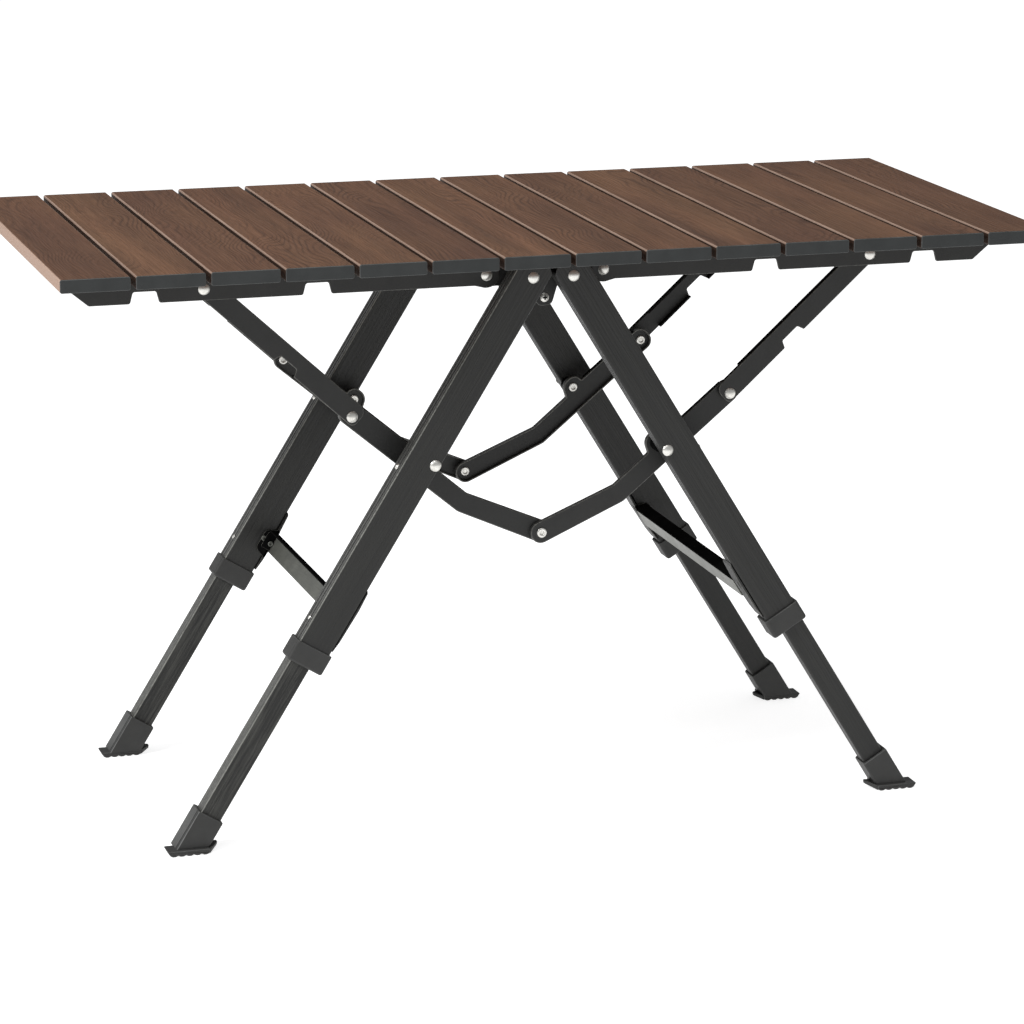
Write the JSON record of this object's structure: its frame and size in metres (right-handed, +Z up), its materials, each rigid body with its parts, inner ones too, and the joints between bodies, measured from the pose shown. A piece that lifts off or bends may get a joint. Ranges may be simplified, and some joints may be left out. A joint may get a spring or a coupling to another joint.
{
  "type": "folding picnic table",
  "caption": "Folding slatted picnic table on splayed telescopic legs, braced by a hinged arm and link frame, with a top whose two wings fold down.",
  "frame": {"origin": "on the floor under the centre of the table top", "axes": "+X along the long side of the top, +Y from the front to the back of the table, +Z up"},
  "size_m": [0.9946, 0.477, 0.59],
  "materials": {
    "wood_top": "matt dark brown wood grain",
    "black_steel": "satin black coating on pressed sheet",
    "black_tube": "black coating with an embossed grain",
    "black_plastic": "fine matt",
    "grey_steel": "satin",
    "nickel": "polished"
  },
  "bodies": {
    "centre_frame": {"slat_07": "wood_top", "slat_08": "wood_top", "centre_bracket_front": "black_steel", "centre_bracket_back": "black_steel", "rod_screw_front": "nickel", "rod_screw_back": "nickel", "spacer_rod": "black_steel", "leg_pivot_pin_front_right": "nickel", "leg_pivot_pin_front_left": "nickel", "leg_pivot_pin_back_right": "nickel", "leg_pivot_pin_back_left": "nickel"},
    "wing_left": {"slat_01": "wood_top", "slat_02": "wood_top", "slat_03": "wood_top", "slat_04": "wood_top", "slat_05": "wood_top", "slat_06": "wood_top", "rail_front_left": "black_steel", "rail_back_left": "black_steel"},
    "upper_legs_left": {"upper_leg_front_left": "black_tube", "collar_front_left": "black_plastic", "upper_leg_back_left": "black_tube", "collar_back_left": "black_plastic"},
    "release_left": {"release_lever_front_left": "grey_steel", "release_lever_back_left": "grey_steel", "release_crossbar_left": "grey_steel"},
    "links_left": {"lower_link_front_left": "black_steel", "lower_link_back_left": "black_steel"},
    "arms_left": {"upper_arm_front_left": "black_steel", "upper_arm_back_left": "black_steel"},
    "lower_leg_front_left": {"lower_leg_front_left": "black_tube", "foot_front_left": "black_plastic"},
    "lower_leg_back_left": {"lower_leg_back_left": "black_tube", "foot_back_left": "black_plastic"},
    "wing_right": {"slat_09": "wood_top", "slat_10": "wood_top", "slat_11": "wood_top", "slat_12": "wood_top", "slat_13": "wood_top", "slat_14": "wood_top", "rail_front_right": "black_steel", "rail_back_right": "black_steel"},
    "upper_legs_right": {"upper_leg_front_right": "black_tube", "collar_front_right": "black_plastic", "upper_leg_back_right": "black_tube", "collar_back_right": "black_plastic"},
    "release_right": {"release_lever_front_right": "grey_steel", "release_lever_back_right": "grey_steel", "release_crossbar_right": "grey_steel"},
    "links_right": {"lower_link_front_right": "black_steel", "lower_link_back_right": "black_steel"},
    "arms_right": {"upper_arm_front_right": "black_steel", "upper_arm_back_right": "black_steel"},
    "lower_leg_front_right": {"lower_leg_front_right": "black_tube", "foot_front_right": "black_plastic"},
    "lower_leg_back_right": {"lower_leg_back_right": "black_tube", "foot_back_right": "black_plastic"}
  },
  "joints": [
    {"name": "wing_left_fold", "type": "hinge", "parent": "centre_frame", "child": "wing_left", "pos_m": [-0.06, 0, 0.556], "axis": [0, -1, 0], "range_deg": [0, 67]},
    {"name": "leg_left_swing", "type": "hinge", "parent": "centre_frame", "child": "upper_legs_left", "pos_m": [-0.0206, 0, 0.5565], "axis": [0, -1, 0], "range_deg": [0, 30.1]},
    {"name": "link_left_turn", "type": "hinge", "parent": "upper_legs_left", "child": "links_left", "pos_m": [-0.12003, 0, 0.37496], "axis": [0, 1, 0], "range_deg": [0, 78.8]},
    {"name": "arm_left_turn", "type": "hinge", "parent": "wing_left", "child": "arms_left", "pos_m": [-0.342, 0, 0.557], "axis": [0, -1, 0], "range_deg": [0, 20.95]},
    {"name": "release_left_press", "type": "hinge", "parent": "upper_legs_left", "child": "release_left", "pos_m": [-0.21965, 0, 0.20224], "axis": [0, -1, 0], "range_deg": [0, 4], "stiffness_Nm_per_rad": 4, "springref_deg": -5.73},
    {"name": "leg_front_left_slide", "type": "slide", "parent": "upper_legs_left", "child": "lower_leg_front_left", "axis": [0.5255, 0, 0.8508], "range_m": [0, 0.165]},
    {"name": "leg_back_left_slide", "type": "slide", "parent": "upper_legs_left", "child": "lower_leg_back_left", "axis": [0.5255, 0, 0.8508], "range_m": [0, 0.165]},
    {"name": "wing_right_fold", "type": "hinge", "parent": "centre_frame", "child": "wing_right", "pos_m": [0.06, 0, 0.556], "axis": [0, 1, 0], "range_deg": [0, 67.1]},
    {"name": "leg_right_swing", "type": "hinge", "parent": "centre_frame", "child": "upper_legs_right", "pos_m": [0.0206, 0, 0.5565], "axis": [0, 1, 0], "range_deg": [0, 30.1]},
    {"name": "link_right_turn", "type": "hinge", "parent": "upper_legs_right", "child": "links_right", "pos_m": [0.12003, 0, 0.37496], "axis": [0, -1, 0], "range_deg": [0, 78.8]},
    {"name": "arm_right_turn", "type": "hinge", "parent": "wing_right", "child": "arms_right", "pos_m": [0.342, 0, 0.557], "axis": [0, 1, 0], "range_deg": [0, 20.95]},
    {"name": "release_right_press", "type": "hinge", "parent": "upper_legs_right", "child": "release_right", "pos_m": [0.21965, 0, 0.20224], "axis": [0, 1, 0], "range_deg": [0, 4], "stiffness_Nm_per_rad": 4, "springref_deg": -5.73},
    {"name": "leg_front_right_slide", "type": "slide", "parent": "upper_legs_right", "child": "lower_leg_front_right", "axis": [-0.5255, 0, 0.8508], "range_m": [0, 0.165]},
    {"name": "leg_back_right_slide", "type": "slide", "parent": "upper_legs_right", "child": "lower_leg_back_right", "axis": [-0.5255, 0, 0.8508], "range_m": [0, 0.165]}
  ],
  "couplings": [
    {"joint": "wing_right_fold", "follows": "wing_left_fold", "ratio": 1},
    {"joint": "leg_left_swing", "follows": "wing_left_fold", "ratio": 0.44776},
    {"joint": "link_left_turn", "follows": "wing_left_fold", "ratio": 1.1731},
    {"joint": "arm_left_turn", "follows": "wing_left_fold", "ratio": 0.31075},
    {"joint": "leg_right_swing", "follows": "wing_left_fold", "ratio": 0.44776},
    {"joint": "link_right_turn", "follows": "wing_left_fold", "ratio": 1.1731},
    {"joint": "arm_right_turn", "follows": "wing_left_fold", "ratio": 0.31075}
  ]
}
